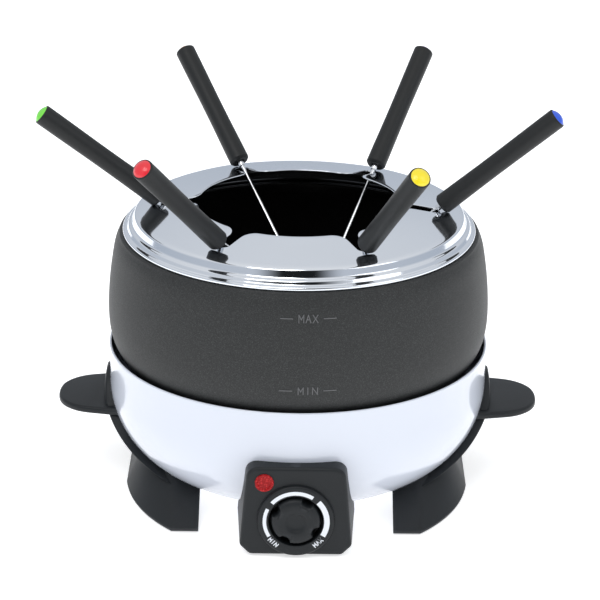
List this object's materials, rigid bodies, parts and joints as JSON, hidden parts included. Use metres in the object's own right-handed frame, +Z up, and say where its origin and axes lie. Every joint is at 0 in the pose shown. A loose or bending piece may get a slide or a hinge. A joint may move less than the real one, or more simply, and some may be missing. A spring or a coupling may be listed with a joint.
{
  "type": "electric fondue pot set",
  "caption": "Electric fondue set: lift-out pot on a heated bowl-shaped base with side ears and a dial, steel fork ring, and colour-capped forks.",
  "frame": {"origin": "on the table, at the middle of the object's footprint, on the pot's axis to within 1 mm", "axes": "+Z up, the control dial faces -Y, +X to the right as the user faces the dial"},
  "size_m": [0.286, 0.2509, 0.2217],
  "materials": {
    "enamel_white": "glossy white stove enamel",
    "black_plastic": "fine-grained satin black",
    "pot_metallic": "dark grey metallic lacquer outside, glossy black non-stick coat inside",
    "mirror_steel": "mirror-polished stainless steel",
    "fork_steel": "bright drawn stainless steel",
    "handle_plastic": "matte black, moulded",
    "cap_green": "glossy green",
    "cap_red": "glossy red",
    "cap_yellow": "glossy yellow",
    "cap_blue": "glossy blue",
    "cap_purple": "glossy purple",
    "cap_orange": "glossy orange",
    "lens_red": "clear red, faceted window",
    "print_white": "white pad print",
    "print_grey": "light grey raised lettering",
    "cast_aluminium": "as cast, top machined",
    "sheathed_steel": "heat-darkened tube",
    "zinc_steel": "zinc plated",
    "ceramic_white": "unglazed",
    "rubber_black": "soft matte rubber",
    "lead_sleeve": "silicone-glass sleeve",
    "lamp_glass": "clear neon bulb"
  },
  "bodies": {
    "base": {"base_bowl": "enamel_white", "bottom_cover": "black_plastic", "cover_screws": "zinc_steel", "side_bracket_left": "black_plastic", "side_bracket_right": "black_plastic", "bracket_screws": "zinc_steel", "foot_pads": "rubber_black", "control_housing": "black_plastic", "housing_screws": "zinc_steel", "dial_ring": "black_plastic", "dial_marks": "print_white", "pilot_lens": "lens_red", "pilot_lamp": "lamp_glass", "thermostat_body": "ceramic_white", "thermostat_bulb": "zinc_steel", "heat_plate": "cast_aluminium", "heating_element": "sheathed_steel", "plate_posts": "zinc_steel", "heat_reflector": "zinc_steel", "thermal_cutout": "ceramic_white", "terminal_block": "ceramic_white", "cord_gland": "black_plastic", "wall_grommet": "rubber_black", "lead_wires": "lead_sleeve"},
    "knob_body": {"knob": "black_plastic", "thermostat_shaft": "zinc_steel"},
    "pot_body": {"pot": "pot_metallic", "fill_marks": "print_grey"},
    "ring_body": {"fork_ring": "mirror_steel"},
    "fork_green": {"fork_rod_green": "fork_steel", "fork_handle_green": "handle_plastic", "fork_cap_green": "cap_green"},
    "fork_red": {"fork_rod_red": "fork_steel", "fork_handle_red": "handle_plastic", "fork_cap_red": "cap_red"},
    "fork_yellow": {"fork_rod_yellow": "fork_steel", "fork_handle_yellow": "handle_plastic", "fork_cap_yellow": "cap_yellow"},
    "fork_blue": {"fork_rod_blue": "fork_steel", "fork_handle_blue": "handle_plastic", "fork_cap_blue": "cap_blue"},
    "fork_purple": {"fork_rod_purple": "fork_steel", "fork_handle_purple": "handle_plastic", "fork_cap_purple": "cap_purple"},
    "fork_orange": {"fork_rod_orange": "fork_steel", "fork_handle_orange": "handle_plastic", "fork_cap_orange": "cap_orange"}
  },
  "joints": [
    {"name": "knob_turn", "type": "hinge", "parent": "base", "child": "knob_body", "pos_m": [0, -0.112, 0.0224], "axis": [0, -1, 0], "range_deg": [-135, 135]},
    {"name": "pot_lift", "type": "slide", "parent": "base", "child": "pot_body", "axis": [0, 0, 1], "range_m": [0, 0.12]},
    {"name": "ring_lift", "type": "slide", "parent": "pot_body", "child": "ring_body", "axis": [0, 0, 1], "range_m": [0, 0.12]},
    {"name": "fork_green_draw", "type": "slide", "parent": "ring_body", "child": "fork_green", "axis": [-0.7808, -0.089, 0.6184], "range_m": [0, 0.05]},
    {"name": "fork_red_draw", "type": "slide", "parent": "ring_body", "child": "fork_red", "axis": [-0.4487, -0.5805, 0.6794], "range_m": [0, 0.05]},
    {"name": "fork_yellow_draw", "type": "slide", "parent": "ring_body", "child": "fork_yellow", "axis": [0.2965, -0.6659, 0.6845], "range_m": [0, 0.05]},
    {"name": "fork_blue_draw", "type": "slide", "parent": "ring_body", "child": "fork_blue", "axis": [0.7502, -0.0828, 0.6561], "range_m": [0, 0.05]},
    {"name": "fork_purple_draw", "type": "slide", "parent": "ring_body", "child": "fork_purple", "axis": [0.358, 0.6512, 0.6691], "range_m": [0, 0.05]},
    {"name": "fork_orange_draw", "type": "slide", "parent": "ring_body", "child": "fork_orange", "axis": [-0.4229, 0.6414, 0.6401], "range_m": [0, 0.05]}
  ]
}
